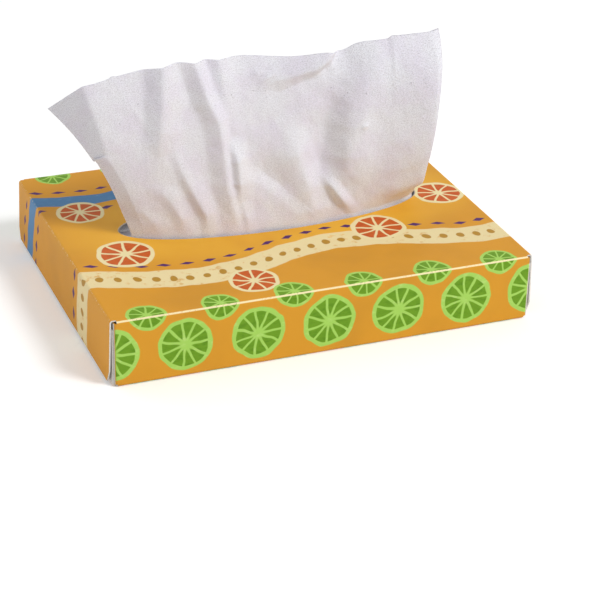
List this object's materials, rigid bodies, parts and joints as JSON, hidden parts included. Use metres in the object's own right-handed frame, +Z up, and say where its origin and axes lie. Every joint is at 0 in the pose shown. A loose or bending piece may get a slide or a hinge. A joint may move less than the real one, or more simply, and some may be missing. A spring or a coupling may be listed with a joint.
{
  "type": "tissue box",
  "caption": "Small flat folding-board carton of facial tissues with an oval film-lined opening and a sheet drawn up through the slit, ready to pull.",
  "frame": {"origin": "centre of the carton's underside", "axes": "+X along the carton's length, -Y towards its front panel, +Z up out of the opening"},
  "size_m": [0.1404, 0.109, 0.0813],
  "materials": {
    "printed_board": "satin",
    "clear_film": "gloss",
    "pack_paper": "matte",
    "tissue_paper": "matte"
  },
  "bodies": {
    "root": {"carton": "printed_board", "slit_film": "clear_film", "tissue_pack": "pack_paper", "raised_tissue": "tissue_paper"}
  },
  "joints": []
}
